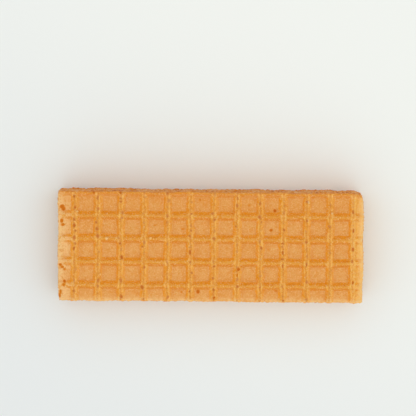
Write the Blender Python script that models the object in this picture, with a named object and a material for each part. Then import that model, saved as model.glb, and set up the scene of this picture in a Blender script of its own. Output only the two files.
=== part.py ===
"""Sugar wafer: three baked waffle sheets with two layers of cream pressed between them.

Units are metres and +Z is up. The wafer lies flat on the ribs of its bottom sheet. The origin is the
middle of its footprint, +X runs along its length and +Y across its width.
"""

import bmesh
import bpy
from mathutils import Vector, noise

# The bar as it is sawn from the filled block.
LENGTH = 0.0700
WIDTH = 0.0252
CORNER_RADIUS = 0.0008
CORNER_SEGMENTS = 3

# Thickness of each layer. LAYER_GAP keeps neighbouring solids apart.
RIB_HEIGHT = 0.0010
WEB = 0.0009
UPPER_CREAM = 0.0026
MIDDLE_SHEET = 0.0010
LOWER_CREAM = 0.0024
LAYER_GAP = 0.0003

# The waffle pattern of the outer sheets: square cells between ribs with round shoulders and sloping flanks.
CELL_PITCH = 0.00533
CREST_HALF_WIDTH = 0.00034
SHOULDER_WIDTH = 0.00022
SHOULDER_DROP = 0.00015
FLANK_WIDTH = 0.00056
CELLS_ALONG = 14
CELLS_ACROSS = 6

# One crossing of two ribs on each outer sheet. The sheets are baked apart, so their ribs don't line up.
TOP_CROSSING = (0.00076, 0.00178)
BOTTOM_CROSSING = (0.00011, -0.00012)

# Beyond the last crosswise ribs of the top sheet the ends were pressed thinner by the saw.
LEFT_BEND = TOP_CROSSING[0] - 6 * CELL_PITCH
RIGHT_BEND = TOP_CROSSING[0] + 6 * CELL_PITCH
END_SQUEEZE = 0.09
END_RIB_FADE = 0.55
BEND_SNAP = 0.00005

# How far the sawn sides wander, as fine crags in the cream and small chips in the sheets.
CREAM_CRAG = 0.00034
CREAM_STEP = 0.00115
CREAM_ROWS = 3
SHEET_CHIP = 0.00022
SHEET_STEP = 0.0014
CRAG_GRAIN = 900.0
CRAG_CONTRAST = 0.7

# Where each layer's noise starts, so that no two sides are alike.
SEEDS = {
    "bottom_sheet": 11.0,
    "lower_cream": 23.0,
    "middle_sheet": 37.0,
    "upper_cream": 41.0,
    "top_sheet": 53.0,
}

# Heights worked out from the layers, from the floor up.
BOTTOM_WEB_Z = RIB_HEIGHT
LOWER_CREAM_Z = BOTTOM_WEB_Z + WEB + LAYER_GAP
MIDDLE_SHEET_Z = LOWER_CREAM_Z + LOWER_CREAM + LAYER_GAP
UPPER_CREAM_Z = MIDDLE_SHEET_Z + MIDDLE_SHEET + LAYER_GAP
TOP_WEB_Z = UPPER_CREAM_Z + UPPER_CREAM + LAYER_GAP
THICKNESS = TOP_WEB_Z + WEB + RIB_HEIGHT

# Name, colour and roughness of each material.
BAKED = ("Baked wafer", (0.72, 0.36, 0.11), 0.80)
CORE = ("Wafer core", (0.60, 0.24, 0.05), 0.85)
CREAM = ("Cream filling", (0.83, 0.55, 0.28), 0.75)


def clear_scene():
    """Remove what the file starts with."""
    for obj in list(bpy.data.objects):
        bpy.data.objects.remove(obj, do_unlink=True)


def new_collection(name):
    """A collection of the scene's own."""
    collection = bpy.data.collections.new(name)
    bpy.context.scene.collection.children.link(collection)
    return collection


def new_material(name, colour, roughness):
    """A dry, dull Principled material."""
    material = bpy.data.materials.new(name)
    material.use_nodes = True
    shader = material.node_tree.nodes["Principled BSDF"]
    shader.inputs["Base Color"].default_value = (*colour, 1.0)
    shader.inputs["Roughness"].default_value = roughness
    shader.inputs["Metallic"].default_value = 0.0
    return material


def new_object(name, bm, collection, material=None):
    """A mesh object with outward faces from a finished bmesh."""
    bmesh.ops.recalc_face_normals(bm, faces=bm.faces)
    if bm.calc_volume(signed=True) < 0:
        bmesh.ops.reverse_faces(bm, faces=bm.faces)
    mesh = bpy.data.meshes.new(name)
    bm.to_mesh(mesh)
    bm.free()
    if material is not None:
        mesh.materials.append(material)
    obj = bpy.data.objects.new(name, mesh)
    collection.objects.link(obj)
    return obj


def sawn_outline(bm, step):
    """The bar seen from above: one flat face with small round corners and a point every step."""
    bmesh.ops.create_grid(bm, x_segments=1, y_segments=1, size=0.5)
    bmesh.ops.scale(bm, vec=(LENGTH, WIDTH, 1.0), verts=bm.verts)
    bmesh.ops.bevel(
        bm, geom=bm.verts[:], offset=CORNER_RADIUS, segments=CORNER_SEGMENTS, profile=0.5, affect="VERTICES"
    )
    for edge in list(bm.edges):
        cuts = round(edge.calc_length() / step) - 1
        if cuts > 0:
            bmesh.ops.subdivide_edges(bm, edges=[edge], cuts=cuts)


def raise_in_rows(bm, height, rows):
    """Extrude the outline upwards in equal rows, so that its sides can be roughened row by row."""
    cap = bm.faces[:]
    for row in range(rows):
        raised = bmesh.ops.extrude_face_region(bm, geom=cap)["geom"]
        if row > 0:
            bmesh.ops.delete(bm, geom=cap, context="FACES_ONLY")
        points = [item for item in raised if isinstance(item, bmesh.types.BMVert)]
        cap = [item for item in raised if isinstance(item, bmesh.types.BMFace)]
        bmesh.ops.translate(bm, vec=(0.0, 0.0, height / rows), verts=points)


def roughen_sides(bm, depth, seed):
    """Press each point of the sides inwards by up to depth, following a fixed noise."""
    for point in bm.verts:
        place = point.co * CRAG_GRAIN + Vector((0.0, 0.0, seed))
        share = max(0.0, min(1.0, 0.5 + CRAG_CONTRAST * noise.noise(place)))
        point.co.x *= 1 - share * 2 * depth / LENGTH
        point.co.y *= 1 - share * 2 * depth / WIDTH


def end_share(x):
    """0 between the bend lines, growing evenly to 1 at the bar's sawn end."""
    if x < LEFT_BEND:
        return (LEFT_BEND - x) / (LEFT_BEND + LENGTH / 2)
    if x > RIGHT_BEND:
        return (x - RIGHT_BEND) / (LENGTH / 2 - RIGHT_BEND)
    return 0.0


def cut_at_bends(bm):
    """Add a row of points at each bend line, snapping to the points that already lie there."""
    for bend in (LEFT_BEND, RIGHT_BEND):
        bmesh.ops.bisect_plane(
            bm,
            geom=bm.verts[:] + bm.edges[:] + bm.faces[:],
            dist=BEND_SNAP,
            plane_co=(bend, 0.0, 0.0),
            plane_no=(1.0, 0.0, 0.0),
        )


def bend_ends(bm):
    """Press the bar's two ends thinner, towards its middle height, from the bend lines outwards."""
    for point in bm.verts:
        squeeze = 1 - END_SQUEEZE * end_share(point.co.x)
        point.co.z = THICKNESS / 2 + (point.co.z - THICKNESS / 2) * squeeze


def layer(name, low, height, rows, step, crag, seed, collection, material=None):
    """A flat layer of the bar with sawn, roughened sides."""
    bm = bmesh.new()
    sawn_outline(bm, step)
    raise_in_rows(bm, height, rows)
    bmesh.ops.translate(bm, vec=(0.0, 0.0, low), verts=bm.verts)
    roughen_sides(bm, crag, seed)
    cut_at_bends(bm)
    bend_ends(bm)
    return new_object(name, bm, collection, material)


def cream_layer(name, low, height, collection, material):
    """A filling, with fine crags on its sides."""
    layer(name, low, height, CREAM_ROWS, CREAM_STEP, CREAM_CRAG, SEEDS[name], collection, material)


def plain_sheet(name, low, collection, material):
    """The middle sheet, which has no ribs."""
    layer(name, low, MIDDLE_SHEET, 1, SHEET_STEP, SHEET_CHIP, SEEDS[name], collection, material)


def waffle_relief(bm, crossing):
    """The open outer surface of a waffle sheet above its web: a grid of cells sunk between ribs."""
    bmesh.ops.create_grid(bm, x_segments=CELLS_ALONG, y_segments=CELLS_ACROSS, size=0.5)
    bmesh.ops.scale(bm, vec=(CELLS_ALONG * CELL_PITCH, CELLS_ACROSS * CELL_PITCH, 1.0), verts=bm.verts)
    bmesh.ops.translate(bm, vec=(*crossing, WEB + RIB_HEIGHT), verts=bm.verts)
    cells = bm.faces[:]
    bmesh.ops.inset_individual(bm, faces=cells, thickness=CREST_HALF_WIDTH)
    bmesh.ops.inset_individual(bm, faces=cells, thickness=SHOULDER_WIDTH, depth=-SHOULDER_DROP)
    bmesh.ops.inset_individual(bm, faces=cells, thickness=FLANK_WIDTH, depth=SHOULDER_DROP - RIB_HEIGHT)


def fade_ribs(bm):
    """Lower the ribs where they run out towards the bar's ends."""
    for point in bm.verts:
        point.co.z = WEB + (point.co.z - WEB) * (1 - END_RIB_FADE * end_share(point.co.x))


def close_web(bm):
    """Extrude the open relief's rim down to the web's flat inner face, and close that."""
    rim = [edge for edge in bm.edges if edge.is_boundary]
    made = bmesh.ops.extrude_edge_only(bm, edges=rim)["geom"]
    for item in made:
        if isinstance(item, bmesh.types.BMVert):
            item.co.z = 0.0
    bmesh.ops.holes_fill(bm, edges=[item for item in made if isinstance(item, bmesh.types.BMEdge)])


def turn_ribs_down(bm):
    """Mirror the sheet in its web's height."""
    bmesh.ops.scale(bm, vec=(1.0, 1.0, -1.0), verts=bm.verts)
    bmesh.ops.translate(bm, vec=(0.0, 0.0, WEB), verts=bm.verts)


def saw_block(name, seed, collection):
    """The bar's outline, much taller than the bar, that trims a waffle sheet."""
    block = layer(name, -THICKNESS, 3 * THICKNESS, 1, SHEET_STEP, SHEET_CHIP, seed, collection)
    block.hide_render = True
    block.display_type = "WIRE"
    return block


def waffle_sheet(name, crossing, web_z, ribs_down, collection, cutters, material):
    """An outer sheet: a web with ribs on its outer side, trimmed to the sawn outline."""
    bm = bmesh.new()
    waffle_relief(bm, crossing)
    cut_at_bends(bm)
    fade_ribs(bm)
    close_web(bm)
    cut_at_bends(bm)
    if ribs_down:
        turn_ribs_down(bm)
    bmesh.ops.translate(bm, vec=(0.0, 0.0, web_z), verts=bm.verts)
    bend_ends(bm)
    bmesh.ops.triangulate(bm, faces=bm.faces)
    sheet = new_object(name, bm, collection, material)
    trim = sheet.modifiers.new("Saw", "BOOLEAN")
    trim.operation = "INTERSECT"
    trim.solver = "EXACT"
    trim.object = saw_block(name + "_saw", SEEDS[name], cutters)


def main():
    clear_scene()
    wafer = new_collection("Sugar wafer")
    cutters = new_collection("Cutters")
    baked = new_material(*BAKED)
    core = new_material(*CORE)
    cream = new_material(*CREAM)
    waffle_sheet("bottom_sheet", BOTTOM_CROSSING, BOTTOM_WEB_Z, True, wafer, cutters, baked)
    cream_layer("lower_cream", LOWER_CREAM_Z, LOWER_CREAM, wafer, cream)
    plain_sheet("middle_sheet", MIDDLE_SHEET_Z, wafer, core)
    cream_layer("upper_cream", UPPER_CREAM_Z, UPPER_CREAM, wafer, cream)
    waffle_sheet("top_sheet", TOP_CROSSING, TOP_WEB_Z, False, wafer, cutters, baked)


main()
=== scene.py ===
"""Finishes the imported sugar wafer: baked waffle sheets, sawn cream, crumbs, and a plain studio round them.

Lengths are metres, +Z is up and the wafer lies along X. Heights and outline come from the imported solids.
"""

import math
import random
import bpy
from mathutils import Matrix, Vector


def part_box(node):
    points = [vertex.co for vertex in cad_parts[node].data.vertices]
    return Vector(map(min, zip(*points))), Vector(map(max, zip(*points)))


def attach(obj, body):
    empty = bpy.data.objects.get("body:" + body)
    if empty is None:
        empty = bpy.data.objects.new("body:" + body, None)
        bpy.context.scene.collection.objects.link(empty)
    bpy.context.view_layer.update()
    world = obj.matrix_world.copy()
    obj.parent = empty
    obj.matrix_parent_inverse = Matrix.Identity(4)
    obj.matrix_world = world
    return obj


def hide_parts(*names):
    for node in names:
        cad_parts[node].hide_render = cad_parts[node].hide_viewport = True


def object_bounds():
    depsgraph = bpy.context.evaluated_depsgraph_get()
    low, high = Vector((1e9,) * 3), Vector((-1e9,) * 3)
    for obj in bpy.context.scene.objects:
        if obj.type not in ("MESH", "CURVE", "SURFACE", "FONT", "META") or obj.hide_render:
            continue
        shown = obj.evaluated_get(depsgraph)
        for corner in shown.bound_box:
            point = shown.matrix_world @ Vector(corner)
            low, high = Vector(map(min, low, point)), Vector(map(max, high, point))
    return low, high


bl_info = {
    "name": "Sugar wafer",
    "version": (1, 0, 0),
    "blender": (4, 5, 0),
    "location": "3D View > Sidebar > Sugar wafer",
    "description": "Models a cream-filled sugar wafer round its packed solids",
    "category": "Object",
}

import bpy
import numpy as np
from bpy.props import FloatProperty, FloatVectorProperty, IntProperty, PointerProperty
from bpy.types import Operator, Panel, PropertyGroup
from mathutils import Vector

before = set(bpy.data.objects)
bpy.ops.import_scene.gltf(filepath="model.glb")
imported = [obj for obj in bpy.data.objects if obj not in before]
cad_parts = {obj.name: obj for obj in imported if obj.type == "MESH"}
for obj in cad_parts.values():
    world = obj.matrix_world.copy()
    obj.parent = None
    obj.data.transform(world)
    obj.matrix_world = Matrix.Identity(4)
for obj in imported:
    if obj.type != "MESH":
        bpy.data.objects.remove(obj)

BODY = "root"
MM = 0.001

CAD_LOW, CAD_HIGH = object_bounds()
HALF_LENGTH = CAD_HIGH.x
HALF_WIDTH = CAD_HIGH.y
MIDDLE_Z = (CAD_LOW.z + CAD_HIGH.z) / 2

# The solids leave a gap between neighbouring layers. Here each border lies in the middle of its gap.
LAYER_GAP = 0.3 * MM
TOP_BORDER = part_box("upper_cream")[1].z + LAYER_GAP / 2
UPPER_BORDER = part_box("middle_sheet")[1].z + LAYER_GAP / 2
LOWER_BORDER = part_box("middle_sheet")[0].z - LAYER_GAP / 2
BOTTOM_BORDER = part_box("lower_cream")[0].z - LAYER_GAP / 2


def linear(red, green, blue):
    """A colour as it looks on a screen, each channel 0 to 255, turned into the linear values of a shader."""
    shares = (channel / 255 for channel in (red, green, blue))
    return tuple(s / 12.92 if s <= 0.04045 else ((s + 0.055) / 1.055) ** 2.4 for s in shares)


def length_setting(name, description, default):
    return FloatProperty(name=name, description=description, default=default, unit="LENGTH", precision=5)


def place_setting(name, description, x, y):
    return FloatVectorProperty(name=name, description=description, default=(x, y), size=2, unit="LENGTH")


def share_setting(name, description, default):
    return FloatProperty(
        name=name, description=description, default=default, min=0.0, max=1.0, subtype="FACTOR"
    )


def angle_setting(name, description, degrees):
    return FloatProperty(name=name, description=description, default=math.radians(degrees), subtype="ANGLE")


def colour_setting(name, description, *screen):
    return FloatVectorProperty(
        name=name, description=description, default=linear(*screen), size=3, subtype="COLOR", min=0.0, max=1.0
    )


class WaferShape(PropertyGroup):
    """Sizes of the baked sheets and the cream."""

    corner_radius: length_setting("Corner radius", "Rounding of the bar's upright corners", 0.6 * MM)
    cell_pitch: length_setting("Cell pitch", "Distance from one rib to the next", 5.33 * MM)
    rib_height: length_setting("Rib height", "Height of the ribs above the floor of a cell", 1.0 * MM)
    rib_foot: length_setting("Rib foot", "Width of a rib where it leaves the floor of a cell", 1.95 * MM)
    rib_crest: length_setting("Rib crest", "Width of a rib along its crest", 0.65 * MM)
    rib_edge: length_setting("Rib edge", "Rounding of the two edges of a crest", 0.22 * MM)
    pad_width: length_setting("Pad width", "Width of the faint square pressed in each cell", 2.3 * MM)
    pad_height: length_setting("Pad height", "Height of that square above the floor of its cell", 0.07 * MM)
    top_crossing: place_setting(
        "Top crossing", "Where two ribs of the top sheet cross, near the middle", 0.61 * MM, 1.78 * MM
    )
    bottom_crossing: place_setting(
        "Bottom crossing", "Where two ribs of the bottom sheet cross, near the middle", 0.11 * MM, -0.12 * MM
    )
    end_squeeze: share_setting("End squeeze", "How much of its thickness the bar loses at its ends", 0.09)
    end_fade: share_setting("End fade", "How much of their height the ribs lose at the sawn ends", 0.7)
    sheet_grid: length_setting("Sheet grid", "Distance between the points of a waffle sheet", 0.183 * MM)
    side_grid: length_setting("Side grid", "Distance between the points of the other layers", 0.13 * MM)
    seed: IntProperty(name="Seed", description="Start of every random draw", default=7, min=0)


class WaferColours(PropertyGroup):
    """Colours of the baked sheets and the cream."""

    floor: colour_setting("Cell floor", "Skin on the floors of the cells", 229, 164, 87)
    crest: colour_setting("Rib crest", "Skin on the crests of the ribs", 228, 156, 56)
    flank: colour_setting("Rib flank", "Skin on the slopes of the ribs", 240, 170, 68)
    # Painted shade: the deeper orange laid on rib slopes that face -X and +Y.
    flank_painted_shade: colour_setting("Flank painted shade", "Painted shade on the slopes facing -X and +Y", 240, 154, 0)
    # Toast is darker baking in patches, and also painted shade along the +Y side and on slopes facing -Y.
    toast_and_painted_shade: colour_setting("Toast", "Patches baked a little darker", 222, 134, 18)
    dust: colour_setting("Dust", "Dry pale grains on the skin", 246, 201, 136)
    pit: colour_setting("Pit", "Burst bubbles along the crests", 202, 108, 14)
    bruise: colour_setting("Bruise", "Dull patches round the burst bubbles", 208, 136, 72)
    # The sawn crumb colour is also laid in crevices as painted shade.
    crumb: colour_setting("Sawn sheet", "The sheets' crumb where the saw opened it", 242, 154, 28)
    rind: colour_setting("Rind", "The sheets' pale skin, seen edge on", 250, 194, 99)
    # Ember is the sheets' own pores and holes, and also painted shade in the gaps between layers.
    ember_and_painted_shade: colour_setting("Ember", "Pores and holes of the sheets", 222, 120, 0)
    # The middle sheet's colour is also laid deep in the cream's hollows as painted shade.
    core: colour_setting("Middle sheet", "Sawn edge of the middle sheet", 226, 132, 28)
    # Painted shade: the dark colour of the holes and the broken line beside the middle sheet.
    void: colour_setting("Void", "Deep holes beside the middle sheet", 190, 74, 0)
    cream: colour_setting("Cream", "Sawn cream", 242, 189, 117)
    # Deep cream is the cream's own streaks, and also painted shade in its hollows.
    cream_deep: colour_setting("Deep cream", "Streaks and hollows in the cream", 228, 160, 90)
    cream_pale: colour_setting("Pale cream", "Grains and dry patches of cream", 254, 225, 188)
    cream_crumb: colour_setting("Cream crumb", "Loose crumbs of cream", 254, 222, 170)
    burst: colour_setting("Burst bubble", "Holes where the top sheet's skin broke", 206, 110, 12)


class WaferStudio(PropertyGroup):
    """The floor, the light and the camera."""

    floor: colour_setting("Floor", "Colour of the floor", 233, 237, 235)
    # Painted light: the floor is painted lighter towards this far corner.
    far_floor_painted_light: colour_setting("Far floor", "Colour of the floor in its far corner", 245, 248, 242)
    glow: colour_setting("Glow", "Warm light that comes in low from the +Y side", 160, 102, 62)
    key_power: FloatProperty(
        name="Key light", description="Power of the large soft lamp", default=0.8, unit="POWER"
    )
    fill: FloatProperty(
        name="Fill", description="Strength of the even light from all round", default=0.99, min=0.0
    )
    distance: length_setting("Camera distance", "From the camera to the point it looks at", 0.8)
    focal_length: FloatProperty(
        name="Focal length", description="Lens of the camera", default=302.0, unit="CAMERA", precision=1
    )
    tilt: angle_setting("Tilt", "Lean of the camera towards +Y", 5.0)
    roll: angle_setting("Roll", "Turn of the camera about its line of sight", 0.54)


# ---------------------------------------------------------------- working by hand


def put_down():
    """Leave edit mode and let go of everything."""
    if bpy.context.mode != "OBJECT":
        bpy.ops.object.mode_set(mode="OBJECT")
    bpy.ops.object.select_all(action="DESELECT")


def pick(piece):
    """Make this piece the only one selected."""
    put_down()
    piece.select_set(True)
    bpy.context.view_layer.objects.active = piece


def edit(piece):
    """Open this piece, and no other, in edit mode."""
    pick(piece)
    bpy.ops.object.mode_set(mode="EDIT")


def settle(piece):
    """Move the piece's place, turn and size into its mesh."""
    pick(piece)
    bpy.ops.object.transform_apply(location=True, rotation=True, scale=True)


def block(name, low, high):
    """A box between two opposite corners."""
    low, high = Vector(low), Vector(high)
    put_down()
    bpy.ops.mesh.primitive_cube_add(size=1.0, location=(low + high) / 2, scale=high - low)
    piece = bpy.context.object
    piece.name = name
    settle(piece)
    return piece


def copy_of(piece, location=(0, 0, 0), scale=(1, 1, 1), turn=(0, 0, 0)):
    """A copy with its own mesh."""
    twin = piece.copy()
    twin.data = piece.data.copy()
    twin.location = location
    twin.scale = scale
    twin.rotation_euler = turn
    bpy.context.scene.collection.objects.link(twin)
    return twin


def join(name, parts):
    """Join several parts into one piece at the origin."""
    pick(parts[0])
    for part in parts:
        part.select_set(True)
    bpy.ops.object.join()
    piece = bpy.context.object
    piece.name = name
    piece.data.name = name
    settle(piece)
    return piece


def discard(*pieces):
    for piece in pieces:
        bpy.data.objects.remove(piece, do_unlink=True)


def choose(piece, kind, test):
    """In edit mode, select the faces or edges for which the test on the mesh gives true."""
    bpy.ops.mesh.select_mode(type=kind)
    bpy.ops.mesh.select_all(action="DESELECT")
    bpy.ops.object.mode_set(mode="OBJECT")
    elements = piece.data.polygons if kind == "FACE" else piece.data.edges
    elements.foreach_set("select", test(piece.data))
    bpy.ops.object.mode_set(mode="EDIT")


def choose_facing(piece, up):
    """In edit mode, select the faces that look up, or with -1 those that look down."""
    choose(piece, "FACE", lambda mesh: [face.normal.z * up > 0.5 for face in mesh.polygons])


def choose_edges(piece, wanted):
    """In edit mode, select the edges that the test on both their ends picks."""

    def test(mesh):
        return [wanted(*(mesh.vertices[i].co for i in edge.vertices)) for edge in mesh.edges]

    choose(piece, "EDGE", test)


def apply_modifier(piece, kind, **settings):
    """Add a modifier, set it and apply it."""
    pick(piece)
    modifier = piece.modifiers.new(kind.title(), kind)
    for key, value in settings.items():
        setattr(modifier, key, value)
    bpy.ops.object.modifier_apply(modifier=modifier.name)


def remesh(piece, grid):
    """Rebuild the piece as one closed skin with a point every grid."""
    apply_modifier(piece, "REMESH", mode="VOXEL", voxel_size=grid, use_smooth_shade=True)


def clouds(name, grain, depth=2, contrast=1.0):
    """A soft random texture with lumps of about the given size."""
    texture = bpy.data.textures.new(name, "CLOUDS")
    texture.noise_scale = grain
    texture.noise_depth = depth
    texture.contrast = contrast
    return texture


def shift(piece, strength, direction="NORMAL", weights=None, texture=None, guide=None, mid=0.5):
    """Move the piece's points along a direction, by a texture, by weights for each point, or by both."""
    if weights is not None and not weights.any():
        return
    settings = {"direction": direction, "strength": strength, "mid_level": mid if texture else 0.0}
    if texture:
        space = "OBJECT" if guide else "LOCAL"
        settings.update(texture=texture, texture_coords=space, texture_coords_object=guide)
    if weights is not None:
        settings["vertex_group"] = weigh(piece, weights).name
    apply_modifier(piece, "DISPLACE", **settings)
    piece.vertex_groups.clear()


WEIGHT_STEPS = 40


def weigh(piece, weights):
    """A vertex group from one weight for each point, rounded to even steps."""
    group = piece.vertex_groups.new(name="Shift")
    steps = np.rint(np.clip(weights, 0.0, 1.0) * WEIGHT_STEPS).astype(int)
    for step in np.unique(steps):
        if step > 0:
            group.add(np.flatnonzero(steps == step).tolist(), float(step / WEIGHT_STEPS), "REPLACE")
    return group


def values_of(items, field):
    """Three numbers for each point or face, one row each."""
    values = np.empty(len(items) * 3, np.float32)
    items.foreach_get(field, values)
    return values.reshape(-1, 3)


def points_of(piece):
    return values_of(piece.data.vertices, "co")


def normals_of(piece):
    return values_of(piece.data.vertex_normals, "vector")


def note(piece, name, values):
    """Keep one number for each point, which the piece's material reads."""
    attribute = piece.data.attributes.new(name, "FLOAT", "POINT")
    attribute.data.foreach_set("value", np.asarray(values, np.float32))


def ease(values, start, end):
    """0 before start and 1 past end, with a smooth rise between them."""
    share = np.clip((values - start) / (end - start), 0.0, 1.0)
    return share * share * (3 - 2 * share)


# ---------------------------------------------------------------- the bar

# Rims of these widths stay as they are where close_inside makes a layer's or a sheet's hidden face flat.
LAYER_RIM = 1.3 * MM
SHEET_RIM = 1.4 * MM


def shape():
    return bpy.context.scene.wafer_shape


def seed_of(step):
    return shape().seed + step


def past_rounding(points):
    """How far each point lies past where the corners' rounding starts, along X and along Y."""
    radius = shape().corner_radius
    return np.abs(points[:, :2]) - (HALF_LENGTH - radius, HALF_WIDTH - radius)


def depth_from_saw(points):
    """How far each point lies inside the bar's outline, seen from above."""
    out = past_rounding(points)
    beyond = np.linalg.norm(np.maximum(out, 0.0), axis=1)
    return shape().corner_radius - beyond - np.minimum(out.max(axis=1), 0.0)


# Crosswise ribs of the top sheet on either side of its crossing, up to the last one before each end.
RIBS_EACH_WAY = 6


def end_share(points):
    """0 between the last crosswise ribs of the top sheet, growing evenly to 1 at the sawn ends."""
    first = shape().top_crossing[0] - RIBS_EACH_WAY * shape().cell_pitch
    last = shape().top_crossing[0] + RIBS_EACH_WAY * shape().cell_pitch
    x = points[:, 0]
    left = (first - x) / (first + HALF_LENGTH)
    right = (x - last) / (HALF_LENGTH - last)
    return np.clip(np.maximum(left, right), 0.0, 1.0)


# The upper and the lower half of the bar: which way it lies, how much of the squeeze it takes, and how far
# the edge of its sawn ends is rounded off. The rounding starts this far before the end.
HALVES = ((1, 1.0, 0.7 * MM), (-1, 0.5, 0.35 * MM))
END_EDGE = 0.7 * MM


def squeeze_ends(piece, points):
    """Bring the layer's ends nearer to the bar's middle height and round off their edges."""
    half_height = CAD_HIGH.z - MIDDLE_Z
    lift = (points[:, 2] - MIDDLE_Z) / half_height
    for side, share, _ in HALVES:
        drop = share * (shape().end_squeeze * half_height)
        shift(piece, -side * drop, "Z", end_share(points) * np.maximum(side * lift, 0.0))
    edge = np.clip((np.abs(points[:, 0]) - HALF_LENGTH) / END_EDGE + 1, 0.0, 1.0)
    for side, _, drop in HALVES:
        round_off = (1 - np.sqrt(1 - edge**2)) * np.maximum(side * lift, 0.0) ** 2
        shift(piece, -side * drop, "Z", round_off)


# How far the -X end runs askew, and how far and how widely the corner at +X and +Y is worn.
SKEW = 0.28 * MM
CORNER_WEAR = 0.35 * MM
CORNER_REACH = 2.2 * MM


def wear_outline(piece, points):
    """Make the sawn ends and sides a little uneven, set the -X end askew and wear one corner."""
    near_end = ease(np.abs(points[:, 0]), HALF_LENGTH - 3.0 * MM, HALF_LENGTH)
    shift(piece, 0.5 * MM, "X", near_end, clouds("uneven ends", 7.0 * MM, 1, 1.2))
    askew = near_end * (points[:, 0] < 0) * (points[:, 1] / HALF_WIDTH + 1) / 2
    shift(piece, -SKEW, "X", askew)
    off_corner = np.hypot(points[:, 0] - HALF_LENGTH, points[:, 1] - HALF_WIDTH)
    for axis in ("X", "Y"):
        shift(piece, -CORNER_WEAR, axis, 1 - ease(off_corner, 0.0, CORNER_REACH))
    near_side = ease(np.abs(points[:, 1]), HALF_WIDTH - 2.0 * MM, HALF_WIDTH)
    shift(piece, 0.3 * MM, "Y", near_side, clouds("uneven sides", 5.0 * MM, 1, 1.2))


def finish_outline(piece):
    """Squeeze and wear a piece as the whole bar is, so that the layers still meet."""
    points = points_of(piece)
    squeeze_ends(piece, points)
    wear_outline(piece, points)


def rounded_block(name, low_z, high_z):
    """The bar's outline between two heights."""
    piece = block(name, (-HALF_LENGTH, -HALF_WIDTH, low_z), (HALF_LENGTH, HALF_WIDTH, high_z))
    edit(piece)
    choose_edges(piece, lambda a, b: abs(a.z - b.z) > 0.5 * (high_z - low_z))
    bpy.ops.mesh.bevel(offset=shape().corner_radius, segments=5, affect="EDGES")
    put_down()
    return piece


def close_inside(piece, up, rim):
    """Swap the fine face that the next layer hides for one flat face, all but a rim along the saw."""

    def hidden(mesh):
        centres = values_of(mesh.polygons, "center")
        facing = values_of(mesh.polygons, "normal")[:, 2] * up > 0.9
        inside = facing & (depth_from_saw(centres) > rim)
        level = centres[:, 2] * up
        return inside & (level > level[inside].max() - 0.1 * MM)

    edit(piece)
    choose(piece, "FACE", hidden)
    bpy.ops.mesh.delete(type="FACE")
    bpy.ops.mesh.select_all(action="SELECT")
    bpy.ops.mesh.fill_holes(sides=0)
    put_down()


def dents(points, places):
    """How far each point lies in the nearest of several soft dents: 1 in its middle and 0 outside it."""
    order = np.argsort(points[:, 0])
    sorted_x = points[order, 0]
    depth = np.zeros(len(points), np.float32)
    for middle, size, strength in places:
        first, last = np.searchsorted(sorted_x, (middle[0] - size[0], middle[0] + size[0]))
        near = order[first:last]
        reach = np.linalg.norm((points[near] - np.float32(middle)) / np.float32(size), axis=1)
        depth[near] = np.maximum(depth[near], strength * ease(-reach, -1.0, -0.45))
    return depth


def rim_point(turn, z):
    """A point of the outline, turn going from 0 to 1 round it, at height z."""
    way = turn * 4 * (HALF_LENGTH + HALF_WIDTH)
    for half, across, corner in (
        (HALF_LENGTH, Vector((1, 0, 0)), Vector((-HALF_LENGTH, -HALF_WIDTH, z))),
        (HALF_WIDTH, Vector((0, 1, 0)), Vector((HALF_LENGTH, -HALF_WIDTH, z))),
        (HALF_LENGTH, Vector((-1, 0, 0)), Vector((HALF_LENGTH, HALF_WIDTH, z))),
        (HALF_WIDTH, Vector((0, -1, 0)), Vector((-HALF_LENGTH, HALF_WIDTH, z))),
    ):
        if way <= 2 * half:
            return corner + across * way
        way -= 2 * half
    return Vector((-HALF_LENGTH, -HALF_WIDTH, z))


def note_ledges(piece):
    """Keep the crevices between layers, where a sawn side turns up or down or lies far in, for painted shade.
    """
    turned = ease(np.abs(normals_of(piece)[:, 2]), 0.35, 0.75)
    far_in = ease(depth_from_saw(points_of(piece)), 0.30 * MM, 0.60 * MM)
    note(piece, "crevice_painted_shade", np.maximum(turned, far_in))


def broken_edges(level, spread, count, long, tall, seed):
    """Places round the outline, near one height, where the saw broke something away: half sizes in metres."""
    draw = random.Random(seed)
    places = []
    for _ in range(count):
        middle = rim_point(draw.random(), level + draw.gauss(0, spread))
        length = long * draw.uniform(0.3, 1.0)
        places.append((middle, (length, length, tall * draw.uniform(0.5, 1.0)), draw.uniform(0.5, 1.0)))
    return places


def sink(piece, reach, share, texture=None, guide=None, mid=0.5):
    """Press the sawn sides inwards by up to this reach, by a share for each point and by a texture."""
    plan = points_of(piece)[:, :2]
    out = np.maximum(past_rounding(plan), 0.0)
    out /= np.maximum(np.linalg.norm(out, axis=1), 0.01 * MM)[:, None]
    for axis, letter in ((0, "X"), (1, "Y")):
        for sign in (1, -1):
            weights = share * out[:, axis] * (sign * plan[:, axis] > 0)
            shift(piece, -sign * reach, letter, weights, texture, guide, mid)


def break_away(piece, places, reach, name):
    """Sink the sawn side at these places, and keep how far under this name."""
    points = points_of(piece)
    hollow = dents(points, places) * (1 - ease(depth_from_saw(points), 0.3 * MM, 0.7 * MM))
    sink(piece, reach, hollow)
    note(piece, name, hollow)


# The dark line of painted shade in the middle sheet lies this much above the bar's middle, in millimetres.
LINE_HEIGHT = 0.1


def core_gaps():
    """Where the middle sheet has come away from the creams: a few deep slots, and a thin broken line."""
    slots = broken_edges(MIDDLE_Z + 0.02 * MM, 0.08 * MM, 70, 0.9 * MM, 0.30 * MM, seed_of(21))
    line = broken_edges(MIDDLE_Z + 0.05 * MM, 0.06 * MM, 190, 0.7 * MM, 0.16 * MM, seed_of(22))
    holes = broken_edges(MIDDLE_Z - 0.45 * MM, 0.14 * MM, 110, 0.3 * MM, 0.26 * MM, seed_of(23))
    return slots + holes + [(middle, size, 0.55 * strength) for middle, size, strength in line]


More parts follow.
